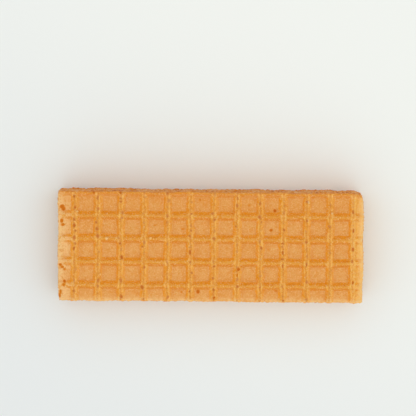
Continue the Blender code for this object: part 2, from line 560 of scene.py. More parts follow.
def sheet_gaps(border, outward, seed):
    """Where a waffle sheet has come away from its cream."""
    return broken_edges(border + outward * 0.10 * MM, 0.14 * MM, 100, 0.7 * MM, 0.20 * MM, seed)


# ---------------------------------------------------------------- waffle sheets


# How deep ribs and pads are rooted in their sheet, how much longer than the bar a rib is made, how far the
# raw sheet stands out past the saw, how far the saw reaches up and down, and how much lower the lengthwise
# ribs are.
ROOT_DEPTH = 0.4 * MM
PAD_DEPTH = 0.2 * MM
RIB_MARGIN = 2.0 * MM
SHEET_MARGIN = 1.0 * MM
SAW_REACH = 5 * MM
LENGTHWISE_DROP = 0.06 * MM


def rib(name, length, height):
    """A crosswise rib on z = 0: a bar with sloping flanks and a narrow crest with rounded edges."""
    foot, crest = shape().rib_foot, shape().rib_crest
    piece = block(name, (-foot / 2, -length / 2, 0.0), (foot / 2, length / 2, height))
    edit(piece)
    choose_facing(piece, 1)
    bpy.ops.transform.resize(value=(crest / foot, 1.0, 1.0), center_override=(0.0, 0.0, height))
    choose_edges(piece, lambda a, b: min(a.z, b.z) > 0.5 * height and abs(a.y - b.y) > 0.5 * length)
    bpy.ops.mesh.bevel(offset=shape().rib_edge, segments=3, affect="EDGES")
    choose_facing(piece, -1)
    bpy.ops.mesh.extrude_region_move(TRANSFORM_OT_translate={"value": (0.0, 0.0, -ROOT_DEPTH)})
    put_down()
    return piece


def rib_places(crossing, half):
    """Where the ribs cross an axis of the bar, from one crossing outwards."""
    pitch = shape().cell_pitch
    first = math.ceil((-half - pitch / 2 - crossing) / pitch)
    last = math.floor((half + pitch / 2 - crossing) / pitch)
    return [crossing + k * pitch for k in range(first, last + 1)]


def off_rib(points, crossing, axis):
    """How far each point lies from the nearest rib that crosses this axis."""
    pitch = shape().cell_pitch
    return np.abs((points[:, axis] - crossing[axis] + pitch / 2) % pitch - pitch / 2)


def skin_height(points, crossing):
    """Height of the sheet's skin over each point, with its outer floor at z = 0."""
    foot, crest = shape().rib_foot, shape().rib_crest
    nearest = np.minimum(off_rib(points, crossing, 0), off_rib(points, crossing, 1))
    return shape().rib_height * np.clip((foot / 2 - nearest) / (foot / 2 - crest / 2), 0.0, 1.0)


def raw_sheet(name, crossing, draw, web):
    """The sheet as it leaves the baking iron, ribs up and with its outer floor at z = 0."""
    height = shape().rib_height
    across = rib("rib_across", 2 * HALF_WIDTH + RIB_MARGIN, height)
    along = rib("rib_along", 2 * HALF_LENGTH + RIB_MARGIN, height - LENGTHWISE_DROP)
    along.rotation_euler.z = math.pi / 2
    settle(along)
    pad = block("pad", (-0.5, -0.5, -PAD_DEPTH), (0.5, 0.5, shape().pad_height))
    edge = Vector((HALF_LENGTH + SHEET_MARGIN, HALF_WIDTH + SHEET_MARGIN, 0.0))
    parts = [block(name, -edge - Vector((0, 0, web)), edge)]
    columns = rib_places(crossing[0], HALF_LENGTH)
    rows = rib_places(crossing[1], HALF_WIDTH)
    for x in columns:
        place = (x + draw.gauss(0, 0.04) * MM, 0, 0)
        parts.append(copy_of(across, place, (draw.uniform(0.94, 1.06), 1, draw.uniform(0.97, 1.03))))
    for y in rows:
        place = (0, y + draw.gauss(0, 0.04) * MM, 0)
        parts.append(copy_of(along, place, (1, draw.uniform(0.94, 1.06), draw.uniform(0.95, 1.02))))
    half_pitch = shape().cell_pitch / 2
    for x in columns:
        for y in rows:
            width = shape().pad_width * draw.uniform(0.92, 1.04)
            place = (x + half_pitch, y + half_pitch, 0)
            parts.append(copy_of(pad, place, (width, width, draw.uniform(0.6, 1.2))))
    discard(across, along, pad)
    return join(name, parts)


def saw(piece):
    """Trim the raw sheet to the bar's outline."""
    outline = rounded_block("saw", -SAW_REACH, SAW_REACH)
    apply_modifier(piece, "BOOLEAN", operation="INTERSECT", solver="MANIFOLD", object=outline)
    discard(outline)
    if piece.dimensions.x > 2 * HALF_LENGTH + SHEET_MARGIN / 2:
        raise RuntimeError(f"{piece.name} was not trimmed to the outline")


# Half the width of the crease along a crosswise crest, and how far off its middle the crease's two lips lie.
CREASE = 0.17 * MM
LIP_PLACE = 0.43 * MM
LIP = 0.15 * MM


def bake_skin(piece, crossing, relief, free):
    """Make the ribs wander, roughen their crests and crease the crosswise ones along the middle."""
    off = off_rib(points_of(piece), crossing, 0)
    crease = relief * np.exp(-((off / CREASE) ** 2))
    grainy = free * (0.3 + 0.7 * relief)
    for name, reach, way, share, grain, depth, contrast, mid in (
        ("wander along", 0.45, "X", free, 2.2, 2, 1.0, 0.5),
        ("wander across", 0.40, "Y", free, 2.7, 2, 1.0, 0.5),
        ("ruffle", 0.26, "X", free, 0.9, 1, 1.2, 0.5),
        ("sag", 0.14, "Z", free, 6.0, 1, 1.0, 0.7),
        ("crease", -0.30, "Z", crease, 0.7, 2, 1.4, 0.32),
        ("crest grain", 0.20, "NORMAL", grainy, 0.34, 2, 1.5, 0.5),
        ("blisters", 0.10, "NORMAL", free, 0.9, 2, 1.2, 0.5),
    ):
        shift(piece, reach * MM, way, share, clouds(name, grain * MM, depth, contrast), mid=mid)
    note(piece, "crease", crease)
    note(piece, "lip", np.exp(-(((off - LIP_PLACE) / LIP) ** 2)) * relief)


# Lengths of crest that may lie between one burst bubble and the next, in millimetres.
BUBBLE_GAPS = (0.15, 0.5, 1.6, 3.2)


def burst_bubbles(crossing, draw):
    """The pits in a broken line along each crosswise crest, thick in places and faint in others."""
    places = []
    for x in rib_places(crossing[0], HALF_LENGTH):
        y = -HALF_WIDTH
        force = draw.uniform(0.5, 1.0)
        while y < HALF_WIDTH:
            long = draw.uniform(0.25, 0.75) * MM
            y += long + draw.choice(BUBBLE_GAPS) * draw.uniform(0.7, 1.3) * MM
            wide = draw.uniform(0.30, 0.52) * MM
            middle = (x + draw.gauss(0, 0.17) * MM, y, shape().rib_height)
            places.append((middle, (wide, long, 0.8 * MM), force * draw.uniform(0.3, 1.0)))
            y += long
    return places


def note_skin(piece, crossing, side, relief, web):
    """Keep what the skin's colours follow: height, slope, painted shade, and how near saw, cream and ribs
    are.
    """
    points = points_of(piece)
    lean = normals_of(piece)
    y, z = points[:, 1], points[:, 2]
    note(piece, "relief", relief)
    note(piece, "rind", 1 - ease(skin_height(points, crossing) - z, 0.05 * MM, 0.32 * MM))
    pressed_flat = 0.75 * ease(end_share(points), 0.25, 0.75)
    note(piece, "steep", (1 - ease(np.abs(lean[:, 2]), 0.72, 0.97)) * (1 - pressed_flat))
    away = lean[:, 0] ** 2 + lean[:, 1] ** 2 + 0.01
    # Painted shade: slopes facing -X and +Y are kept for a deeper orange, those facing -Y for toast.
    west, north = np.minimum(lean[:, 0], 0.0), np.maximum(side * lean[:, 1], 0.0)
    note(piece, "lee_painted_shade", (west**2 + north**2) / away)
    note(piece, "south_slope_painted_shade", np.maximum(-side * lean[:, 1], 0.0) ** 2 / away)
    # Painted shade: the skin's last stretch towards +Y is kept to be painted toast.
    far_rim_painted_shade = ease(side * y, HALF_WIDTH - 1.2 * MM, HALF_WIDTH - 0.2 * MM)
    note(piece, "far_rim_painted_shade", far_rim_painted_shade)
    note(piece, "worn", (1 - ease(depth_from_saw(points), 0.2 * MM, 1.4 * MM)) * (1 - far_rim_painted_shade))
    root = (1 - ease(off_rib(points, crossing, 0), 0.2 * MM, 0.8 * MM)) * (1 - relief)
    note(piece, "root", root * ease(z, -0.6 * MM, -0.1 * MM))
    note(piece, "off_cream", (z + web) / MM)


def pit_skin(piece, points, places, sink_by, name):
    """Sink soft dents into the skin and keep them under this name."""
    dented = dents(points, places)
    shift(piece, -sink_by, "Z", dented)
    note(piece, name, dented)


# Half the height of a named hole, and the most by which a point under the ground is brought back up to it.
HOLE_HEIGHT = 1.2 * MM
LIFT = 0.2 * MM


def waffle_sheet(name, node, crossing, ribs_up, border, named_holes, seed):
    """A baked sheet, sawn, pitted and uneven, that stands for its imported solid."""
    draw = random.Random(seed)
    low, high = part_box(node)
    side = 1 if ribs_up else -1
    floor_z = (high.z if ribs_up else low.z) - side * shape().rib_height
    web = abs(floor_z - border)
    crossing = (crossing[0], side * crossing[1])
    piece = raw_sheet(name, crossing, draw, web)
    remesh(piece, shape().sheet_grid)
    saw(piece)
    remesh(piece, shape().sheet_grid)

    points = points_of(piece)
    depth = depth_from_saw(points)
    relief = ease(points[:, 2], 0.1 * MM, 0.9 * shape().rib_height)
    outer = ease(points[:, 2], -web + 0.1 * MM, -web + 0.3 * MM)
    note_skin(piece, crossing, side, relief, web)
    above = np.maximum(points[:, 2], 0.0) / shape().rib_height
    fading = shape().end_fade * (1.0 if ribs_up else 0.5)
    shift(piece, -fading * shape().rib_height, "Z", end_share(points) * above)
    bake_skin(piece, crossing, relief, outer * ease(depth, 0.1 * MM, 1.0 * MM))
    rim = (1 - outer) * (1 - ease(depth, 0.7 * MM, 1.2 * MM))
    shift(piece, 1.3 * MM, "Z", rim, clouds("ragged border", 0.8 * MM, 3, 1.4))

    pit_skin(piece, points, burst_bubbles(crossing, draw), 0.20 * MM, "pit")
    holes = [
        ((x * MM, side * y * MM, z * MM), (wide * MM, long * MM, HOLE_HEIGHT), strength)
        for x, y, z, wide, long, strength in named_holes
    ]
    pit_skin(piece, points, holes, 0.30 * MM, "hole")

    sawn = (1 - ease(depth, 0.12 * MM, 0.34 * MM)) * (1 - ease(np.abs(normals_of(piece)[:, 2]), 0.45, 0.8))
    note(piece, "sawn", sawn)
    sink(piece, 0.40 * MM, sawn, clouds("saw chips", 0.6 * MM, 3, 1.5), mid=0.48)
    apply_modifier(piece, "SMOOTH", factor=0.25, iterations=1)

    close_inside(piece, -1, SHEET_RIM)
    if not ribs_up:
        piece.rotation_euler.x = math.pi
    piece.location.z = floor_z
    settle(piece)
    break_away(piece, sheet_gaps(border, side, seed), 0.3 * MM, "gap_painted_shade")
    finish_outline(piece)
    shift(piece, LIFT, "Z", np.maximum(CAD_LOW.z - points_of(piece)[:, 2], 0.0) / LIFT)
    return piece


# ---------------------------------------------------------------- cream and middle sheet


def stretched_guide(shift_z, stretch):
    """An empty whose coordinates draw a texture out upright."""
    guide = bpy.data.objects.new("stretch", None)
    bpy.context.scene.collection.objects.link(guide)
    guide.location = (0, 0, shift_z)
    guide.scale = (1, 1, stretch)
    bpy.context.view_layer.update()
    return guide


# Sawn sides reach this far in, and the ragged rim of a face that is only seen edge on this far.
SIDE_DEPTH = 0.5 * MM
RIM_DEPTH = 1.1 * MM
# How far the creams reach into their waffle sheets, and past their borders with the middle sheet.
OVERLAP = 0.5 * MM
UPPER_LAP = -0.25 * MM
LOWER_LAP = 0.40 * MM


def sawn_layer(name, low_z, high_z):
    """A fine closed skin between two heights, its points, and a share for each, 1 on the sawn sides."""
    piece = rounded_block(name, low_z, high_z)
    remesh(piece, shape().side_grid)
    points = points_of(piece)
    return piece, points, 1 - ease(depth_from_saw(points), 0.1 * MM, SIDE_DEPTH)


def ragged_face(piece, points, level, reach, texture):
    """Make the layer's face at this height ragged where it comes out at the saw."""
    near = 1 - ease(np.abs(points[:, 2] - level), 0.1 * MM, 0.3 * MM)
    rim = 1 - ease(depth_from_saw(points), 0.6 * MM, RIM_DEPTH)
    shift(piece, reach, "Z", near * rim, texture)


def finish_layer(piece):
    """Keep the ledges for painted shade, make both hidden faces flat and finish the outline."""
    note_ledges(piece)
    close_inside(piece, 1, LAYER_RIM)
    close_inside(piece, -1, LAYER_RIM)
    finish_outline(piece)
    return piece


def cream_layer(name, low_z, high_z, gaps, wide_hollows, step):
    """A sawn layer of cream: craggy, scored upright by the saw, with hollows and broken edges."""
    piece, points, side = sawn_layer(name, low_z, high_z)
    upper = low_z > MIDDLE_Z
    sheet_z, core_z = (TOP_BORDER, low_z) if upper else (BOTTOM_BORDER, high_z)
    note(piece, "off_sheet", np.abs(points[:, 2] - sheet_z) / MM)
    note(piece, "off_core", np.abs(points[:, 2] - core_z) / MM)
    note(piece, "upper", np.full(len(points), float(upper)))
    ragged_face(piece, points, core_z, 1.5 * MM, clouds("ragged lap", 0.6 * MM, 3, 1.4))
    guide = stretched_guide(step * MM, 6.0)
    sink(piece, 0.45 * MM, side, clouds("crags", 1.4 * MM, 3, 1.4), mid=0.30)
    sink(piece, 0.16 * MM, side, clouds("saw scores", 0.4 * MM, 2, 1.4), guide, mid=0.4)
    shift(piece, -0.22 * MM, "NORMAL", side, clouds("grains", 0.3 * MM, 2, 1.5), mid=0.45)
    discard(guide)
    middle_z, spread = (low_z + high_z) / 2, (high_z - low_z) / 5
    small = broken_edges(middle_z, spread, 110, 0.45 * MM, 0.30 * MM, seed_of(step + 30))
    wide = broken_edges(middle_z, spread, wide_hollows, 1.3 * MM, 0.55 * MM, seed_of(step + 40))
    break_away(piece, small + wide, 0.45 * MM, "hollow")
    break_away(piece, gaps, 0.3 * MM, "gap_painted_shade")
    return finish_layer(piece)


def middle_sheet(name, low_z, high_z):
    """The thin sheet between the creams, with ragged faces and voids, darkened by painted shade."""
    piece, points, side = sawn_layer(name, low_z, high_z)
    note(piece, "above_line", (points[:, 2] - MIDDLE_Z) / MM - LINE_HEIGHT)
    for level in (high_z, low_z):
        ragged_face(piece, points, level, 0.6 * MM, clouds("ragged face", 0.7 * MM, 3, 1.3))
    sink(piece, 0.40 * MM, side, clouds("saw chips", 0.5 * MM, 3, 1.6), mid=0.35)
    lower = 1 - ease(points[:, 2], MIDDLE_Z - 0.45 * MM, MIDDLE_Z - 0.1 * MM)
    sink(piece, 0.12 * MM, side * lower)
    break_away(piece, core_gaps(), 0.42 * MM, "gap_painted_shade")
    return finish_layer(piece)


# ---------------------------------------------------------------- crumbs


LUMP_KINDS = 5
# Each lump is shaped this many of its own radii away from the last, so that no two come out alike.
LUMP_STEP = 10.0


def lumps(name, seed):
    """A few differently shaped small lumps of radius 1, to be copied."""
    made = []
    for k in range(LUMP_KINDS):
        put_down()
        bpy.ops.mesh.primitive_cube_add(size=2.0)
        piece = bpy.context.object
        piece.name = f"{name}_{k}"
        edit(piece)
        bpy.ops.mesh.subdivide(number_cuts=1)
        put_down()
        apply_modifier(piece, "CAST", cast_type="SPHERE", factor=1.0, size=1.0, use_radius_as_size=False)
        piece.location.x = LUMP_STEP * (seed + k)
        settle(piece)
        shift(piece, 1.1, "NORMAL", None, clouds("lump", 0.8, 1, 1.5))
        piece.location.x = -LUMP_STEP * (seed + k)
        settle(piece)
        made.append(piece)
    return made


def scatter(name, places, seed):
    """One crumb at each (point, radius), joined in one mesh."""
    draw = random.Random(seed)
    models = lumps(name, seed)
    parts = []
    for point, radius in places:
        scale = [radius * draw.uniform(0.7, 1.25) for _ in range(3)]
        turn = [draw.uniform(0, math.tau) for _ in range(3)]
        parts.append(copy_of(draw.choice(models), point, scale, turn))
    discard(*models)
    piece = join(name, parts)
    bpy.ops.object.shade_smooth()
    return piece


# ---------------------------------------------------------------- materials


def wire(tree, kind, sockets=None, **settings):
    """Add a node, set it, and give each named input a value or a link."""
    made = tree.nodes.new(kind)
    for key, value in settings.items():
        setattr(made, key, value)
    for socket, value in (sockets or {}).items():
        if isinstance(value, bpy.types.NodeSocket):
            tree.links.new(value, made.inputs[socket])
        else:
            made.inputs[socket].default_value = value
    return made


def fade(tree, value, start, end, most=1.0):
    """0 before start and most past end; turned round when start is the larger."""
    return wire(
        tree,
        "ShaderNodeMapRange",
        {"Value": value, "From Min": start, "From Max": end, "To Max": most},
        interpolation_type="SMOOTHSTEP",
    ).outputs["Result"]


def reckon(tree, operation, *values):
    """One step of arithmetic."""
    return wire(tree, "ShaderNodeMath", dict(enumerate(values)), operation=operation).outputs[0]


def kept(tree, name):
    """The number for each point that a piece keeps under this name."""
    return wire(tree, "ShaderNodeAttribute", attribute_name=name).outputs["Fac"]


def share_of(tree, source, start=None, end=None, most=1.0, mask=None):
    """A share from a socket or a kept number, faded between two bounds if there are any, times a mask."""
    source = kept(tree, source) if isinstance(source, str) else source
    if start is not None:
        source = fade(tree, source, start, end, most)
    return source if mask is None else reckon(tree, "MULTIPLY", source, share_of(tree, mask))


def coats(tree, base, *layers):
    """Lay colours over a base one after another. A layer is a colour, then what share_of takes."""
    for colour, *share in layers:
        under, over = (c if isinstance(c, bpy.types.NodeSocket) else (*c, 1.0) for c in (base, colour))
        mix = {0: share_of(tree, *share), 6: under, 7: over}
        base = wire(tree, "ShaderNodeMix", mix, data_type="RGBA").outputs[2]
    return base


def speckle(tree, where, size, detail=2.0, roughness=0.5):
    """Noise with lumps of about the given size."""
    settings = {"Vector": where, "Scale": 1.0 / size, "Detail": detail, "Roughness": roughness}
    return wire(tree, "ShaderNodeTexNoise", settings).outputs["Fac"]


def torn(tree, off, reach, noise, most=1.0):
    """A border torn by a noise: most where off is less than an uneven share of this reach, and 0 past it."""
    uneven = reckon(tree, "MULTIPLY", fade(tree, noise, 0.40, 0.64), reach)
    return fade(tree, reckon(tree, "SUBTRACT", share_of(tree, off), uneven), 0.05, -0.05, most)


def new_material(name, roughness, glow=0.0, radius=(1.0, 1.0, 1.0), bloom=0.0):
    """A dry Principled material, its tree, the object's own coordinates, and their X, Y and Z apart."""
    material = bpy.data.materials.new(name)
    material.use_nodes = True
    tree = material.node_tree
    for socket, value in {
        "Roughness": roughness,
        "Specular IOR Level": 0.2,
        "Sheen Weight": bloom,
        "Sheen Roughness": 0.4,
        "Sheen Tint": (1.0, 0.86, 0.66, 1.0),
        "Subsurface Weight": glow,
        "Subsurface Radius": radius,
        "Subsurface Scale": 0.35 * MM,
    }.items():
        tree.nodes["Principled BSDF"].inputs[socket].default_value = value
    where = wire(tree, "ShaderNodeTexCoord").outputs["Object"]
    return material, tree, where, wire(tree, "ShaderNodeSeparateXYZ", {0: where}).outputs


def surface(material, colour, height=None, distance=0.0):
    """Give a material its colour, and a fine bump where there is a height."""
    tree = material.node_tree
    inputs = tree.nodes["Principled BSDF"].inputs
    tree.links.new(colour, inputs["Base Color"])
    if height:
        bump = wire(tree, "ShaderNodeBump", {"Height": height, "Distance": distance})
        tree.links.new(bump.outputs["Normal"], inputs["Normal"])
    return material


# Between which places the far sawn side begins, on which toast is painted as shade, and the cream that the
# saw smeared over the last of each end, which covers up to half of what is under it.
PAINTED_SHADE_SIDE = (HALF_WIDTH - 1.0 * MM, HALF_WIDTH - 0.4 * MM)
SMEAR = (HALF_LENGTH - 0.8 * MM, HALF_LENGTH - 0.1 * MM, 0.5)


def baked_material():
    """Wafer skin, tan in the cells and golden on the ribs, with sawn crumb at the sides."""
    colours = bpy.context.scene.wafer_colours
    material, tree, where, place = new_material("Baked wafer", 0.7, 0.12, (1.0, 0.5, 0.2), bloom=0.15)
    along, across, height = place
    patches = speckle(tree, where, 3.5 * MM, 3.0)
    mottle = speckle(tree, where, 0.75 * MM, 3.0, 0.6)
    grain = speckle(tree, where, 0.28 * MM, 2.0, 0.65)
    tears = speckle(tree, where, 1.1 * MM, 3.0, 0.6)
    clumps = speckle(tree, where, 0.8 * MM, 2.0, 0.6)
    west = fade(tree, along, 4.2 * MM - HALF_LENGTH, 1.8 * MM - HALF_LENGTH)
    raised = {"Value": kept(tree, "relief"), "To Min": 0.8, "To Max": 1.0}
    rough = wire(tree, "ShaderNodeMapRange", raised).outputs["Result"]
    # Painted shade on the rib slopes: deeper orange where they face -X and +Y, toast where they face -Y.
    slopes = coats(tree, colours.flank, (colours.flank_painted_shade, "lee_painted_shade"), (colours.toast_and_painted_shade, "south_slope_painted_shade", 0.0, 0.9, 0.9))
    crumb = coats(
        tree,
        colours.crumb,
        # Painted shade: toast over the sawn crumb on the +Y side.
        (colours.toast_and_painted_shade, across, *PAINTED_SHADE_SIDE, 0.75),
        (colours.rind, patches, 0.50, 0.36, 0.4),
        (colours.ember_and_painted_shade, mottle, 0.46, 0.58, 0.85),
        (colours.ember_and_painted_shade, height, MIDDLE_Z - 2.0 * MM, MIDDLE_Z - 3.5 * MM, 0.45),
        (colours.ember_and_painted_shade, "root", 0.1, 0.9, 0.6),
        (colours.ember_and_painted_shade, torn(tree, "off_cream", 0.9, tears, 0.7)),
        (colours.cream, torn(tree, "off_cream", 0.4, clumps, 0.8)),
        (colours.rind, grain, 0.54, 0.66, 0.6),
        (colours.ember_and_painted_shade, grain, 0.44, 0.34, 0.7),
        (colours.rind, "rind", 0.0, 1.0, 0.85),
        (colours.cream, reckon(tree, "ABSOLUTE", along), *SMEAR),
    )
    skin = coats(
        tree,
        colours.floor,
        (colours.crest, "relief"),
        (colours.dust, mottle, 0.34, 0.56, 0.9, west),
        (colours.rind, along, HALF_LENGTH - 4.0 * MM, HALF_LENGTH - 1.6 * MM, 0.8),
        (slopes, "steep", 0.0, 1.0, 0.9),
        # Painted shade: toast along the +Y rim, and a faint toast over the last 9 mm of skin towards +Y.
        (colours.toast_and_painted_shade, "far_rim_painted_shade", 0.0, 1.0, 0.7),
        (colours.toast_and_painted_shade, across, HALF_WIDTH - 9.0 * MM, HALF_WIDTH - 1.0 * MM, 0.16),
        (colours.toast_and_painted_shade, patches, 0.48, 0.75, 0.35),
        (colours.toast_and_painted_shade, mottle, 0.50, 0.68, 0.6, rough),
        (colours.dust, grain, 0.50, 0.68, 0.75, rough),
        (colours.toast_and_painted_shade, grain, 0.45, 0.30, 0.6, rough),
        (colours.rind, mottle, 0.42, 0.58, 1.0, "lip"),
        (colours.dust, mottle, 0.36, 0.60, 0.75, "worn"),
        (colours.pit, mottle, 0.60, 0.42, 0.5, "crease"),
        (crumb, "sawn"),
        (colours.bruise, "pit", 0.0, 0.40, 0.7),
        (colours.pit, "pit", 0.30, 0.75, 0.9),
        (colours.toast_and_painted_shade, "hole", 0.0, 0.5),
        (colours.burst, "hole", 0.25, 0.9),
        # Painted shade: ember where the sheet has come away from its cream.
        (colours.ember_and_painted_shade, "gap_painted_shade", 0.1, 0.7),
    )
    return surface(material, skin, reckon(tree, "MULTIPLY", grain, mottle), 0.12 * MM)


# How far inside its two faces the middle sheet's edge is free of cream, in millimetres.
CLEAN_RIM = 0.15


def core_material():
    """The middle sheet's sawn edge: golden crumb, a broken line of painted shade, and cream pressed in."""
    colours = bpy.context.scene.wafer_colours
    material, tree, where, place = new_material("Wafer core", 0.8)
    mottle = speckle(tree, where, 0.55 * MM, 3.0, 0.6)
    grain = speckle(tree, where, 0.25 * MM, 2.0, 0.6)
    breaks = speckle(tree, where, 0.9 * MM, 3.0, 0.7)
    clumps = speckle(tree, where, 0.5 * MM, 2.0, 0.6)
    above = kept(tree, "above_line")
    off_line = reckon(tree, "ABSOLUTE", above)
    off_middle = reckon(tree, "ABSOLUTE", reckon(tree, "ADD", above, LINE_HEIGHT))
    half = (UPPER_BORDER - LOWER_BORDER) / MM / 2
    off_rims = reckon(tree, "SUBTRACT", half - CLEAN_RIM, off_middle)
    crumb = coats(
        tree,
        colours.core,
        (colours.crumb, mottle, 0.45, 0.62, 0.8),
        (colours.cream, clumps, 0.40, 0.56, 0.9, fade(tree, above, -0.05, -0.35)),
        (colours.cream, torn(tree, off_rims, 0.45, clumps, 0.9)),
        (colours.cream_deep, grain, 0.55, 0.68, 0.5),
        (colours.ember_and_painted_shade, grain, 0.43, 0.30, 0.6),
        # Painted shade: crumb orange in the crevices.
        (colours.crumb, "crevice_painted_shade"),
        # Painted shade: ember and the dark void colour along the broken line of gaps.
        (colours.ember_and_painted_shade, torn(tree, off_line, 0.50, mottle, 0.9)),
        (colours.void, torn(tree, off_line, 0.50, breaks)),
        (colours.cream_pale, grain, 0.60, 0.70, 0.7),
        # Painted shade: ember, then the dark void colour, in the gaps beside the middle sheet.
        (colours.ember_and_painted_shade, "gap_painted_shade", 0.05, 0.40),
        (colours.void, "gap_painted_shade", 0.35, 0.80),
        (colours.cream, reckon(tree, "ABSOLUTE", place["X"]), *SMEAR),
    )
    return surface(material, crumb, grain, 0.12 * MM)


def cream_material():
    """Sawn fat cream, dull and crumbly, with upright streaks."""
    colours = bpy.context.scene.wafer_colours
    material, tree, where, place = new_material("Sawn cream", 0.8)
    upright = wire(tree, "ShaderNodeMapping", {"Vector": where, "Scale": (1.0, 1.0, 0.2)}).outputs["Vector"]
    streaks = speckle(tree, upright, 0.45 * MM, 2.0)
    clumps = speckle(tree, where, 2.2 * MM, 3.0, 0.6)
    flecks = speckle(tree, where, 0.8 * MM, 2.0, 0.6)
    grain = speckle(tree, where, 0.28 * MM, 2.0, 0.6)
    tears = speckle(tree, where, 1.0 * MM, 3.0, 0.6)
    # Painted shade for the gaps: the dark void colour, turning ember away from the middle sheet.
    gap_painted_shade = coats(tree, colours.void, (colours.ember_and_painted_shade, "off_core", 0.6, 1.4))
    cream = coats(
        tree,
        colours.cream,
        (colours.cream_deep, clumps, 0.48, 0.66, 0.8),
        (colours.cream_pale, clumps, 0.46, 0.30, 0.6),
        (colours.cream_deep, flecks, 0.50, 0.66, 0.5),
        (colours.cream_pale, flecks, 0.46, 0.32, 0.5),
        (colours.cream_deep, streaks, 0.50, 0.66, 0.25),
        (colours.cream_pale, "off_sheet", 0.9, 0.3, 0.6, "upper"),
        (colours.cream_pale, "off_core", 1.6, 0.4, 0.6, share_of(tree, "upper", 1.0, 0.0)),
        (colours.crumb, "off_core", 0.7, 0.2, 0.4, "upper"),
        (colours.cream_pale, grain, 0.52, 0.68, 0.6),
        (colours.cream_deep, grain, 0.44, 0.32, 0.5),
        # Painted shade: deeper cream in the hollows.
        (colours.cream_deep, flecks, 0.40, 0.60, 0.9, share_of(tree, "hollow", 0.1, 0.9)),
        # Painted shade: crumb orange in the crevices near the waffle sheet and the middle sheet.
        (colours.crumb, "off_sheet", 0.9, 0.5, 0.9, "crevice_painted_shade"),
        (colours.crumb, "off_core", 0.9, 0.5, 1.0, "crevice_painted_shade"),
        # Painted shade: middle-sheet orange deep in the hollows.
        (colours.core, "hollow", 0.55, 0.95, 0.7),
        (colours.crumb, torn(tree, "off_sheet", 0.50, tears)),
        (colours.core, torn(tree, "off_core", 0.28, tears, 0.8)),
        # Painted shade: toast on the cream's +Y side.
        (colours.toast_and_painted_shade, place["Y"], *PAINTED_SHADE_SIDE, 0.35),
        # Painted shade in the gaps.
        (gap_painted_shade, "gap_painted_shade", 0.15, 0.8),
    )
    return surface(material, cream, grain, 0.10 * MM)


def crumb_material(name, colour, other):
    """Loose crumbs that vary a little from one to the next."""
    toast_and_painted_shade = bpy.context.scene.wafer_colours.toast_and_painted_shade
    material, tree, where, place = new_material(name, 0.75)
    tint = speckle(tree, where, 0.7 * MM)
    # Painted shade: toast on the crumbs on the +Y side.
    tone = coats(tree, colour, (other, tint, 0.35, 0.65), (toast_and_painted_shade, place["Y"], *PAINTED_SHADE_SIDE, 0.35))
    return surface(material, tone, speckle(tree, where, 0.12 * MM), 0.05 * MM)


def dress(piece, material, slot, *nodes):
    """Give a finished piece its material and tie it to the frame."""
    piece.data.materials.clear()
    piece.data.materials.append(material)
    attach(piece, BODY)
    if nodes:
        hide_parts(*nodes)


# ---------------------------------------------------------------- operators

# Holes in the top sheet's skin that stand out: x, y, z, half width and half length in millimetres, strength.
TOP_HOLES = (
    (-34.15, 9.0, 0.4, 0.68, 0.70, 0.77),
    (-33.85, 8.5, 0.4, 0.65, 0.72, 0.77),
    (-34.3, 5.7, 0.4, 0.44, 0.72, 0.68),
    (-34.05, 4.8, 0.4, 0.47, 0.54, 0.68),
    (-34.5, -4.4, 0.4, 0.47, 0.48, 0.68),
    (-34.15, -4.9, 0.3, 0.47, 0.41, 0.68),
    (-33.7, -5.4, 0.2, 0.42, 0.43, 0.51),
    (-33.55, -8.2, 0.4, 0.42, 0.60, 0.68),
    (-33.85, -9.0, 0.4, 0.52, 0.60, 0.68),
    (-34.5, -10.6, 0.4, 0.47, 0.72, 0.68),
    (-34.75, -11.5, 0.4, 0.47, 0.72, 0.68),
    (14.6, 8.5, 0.0, 0.48, 0.50, 1.0),
    (8.6, 9.8, 0.0, 0.40, 0.40, 0.4),
    (15.0, -10.0, 0.0, 0.60, 0.30, 0.4),
    (-6.8, -10.4, 0.0, 0.36, 0.36, 0.4),
    (13.8, 4.0, 0.0, 0.46, 0.42, 0.75),
    (6.4, -5.0, 1.0, 0.54, 0.50, 0.9),
    (6.0, -6.3, 1.0, 0.36, 0.56, 0.6),
    (-12.9, 5.0, 0.0, 0.40, 0.40, 0.35),
    (-6.5, 4.1, 0.0, 0.60, 0.45, 0.35),
    (-2.9, -10.3, 0.0, 0.46, 0.62, 0.75),
    (-27.0, 12.4, 0.6, 0.40, 0.40, 0.9),
    (-20.9, 12.4, 0.6, 0.40, 0.40, 0.9),
    (-2.6, 10.8, 0.0, 0.30, 0.40, 0.6),
    (-1.9, 9.9, 0.0, 0.22, 0.25, 0.4),
    (0.8, -11.6, 0.9, 0.40, 0.35, 0.9),
    (32.7, -7.9, 1.0, 0.26, 0.5, 1.0),
)

# Pale crumbs that stuck to the top: x, y and radius in millimetres.
TOP_CRUMBS = (
    (-24.0, 1.9, 0.30),
    (-21.8, 1.9, 0.27),
    (-13.9, 2.0, 0.32),
    (-13.2, 1.8, 0.22),
    (-31.3, 5.7, 0.24),
    (-30.8, 8.0, 0.30),
    (-25.4, -6.4, 0.26),
    (-15.4, 4.6, 0.20),
    (-12.0, 12.2, 0.22),
    (22.3, 10.6, 0.34),
    (20.6, 6.5, 0.26),
    (27.7, 8.1, 0.26),
    (-26.6, 3.2, 0.24),
)


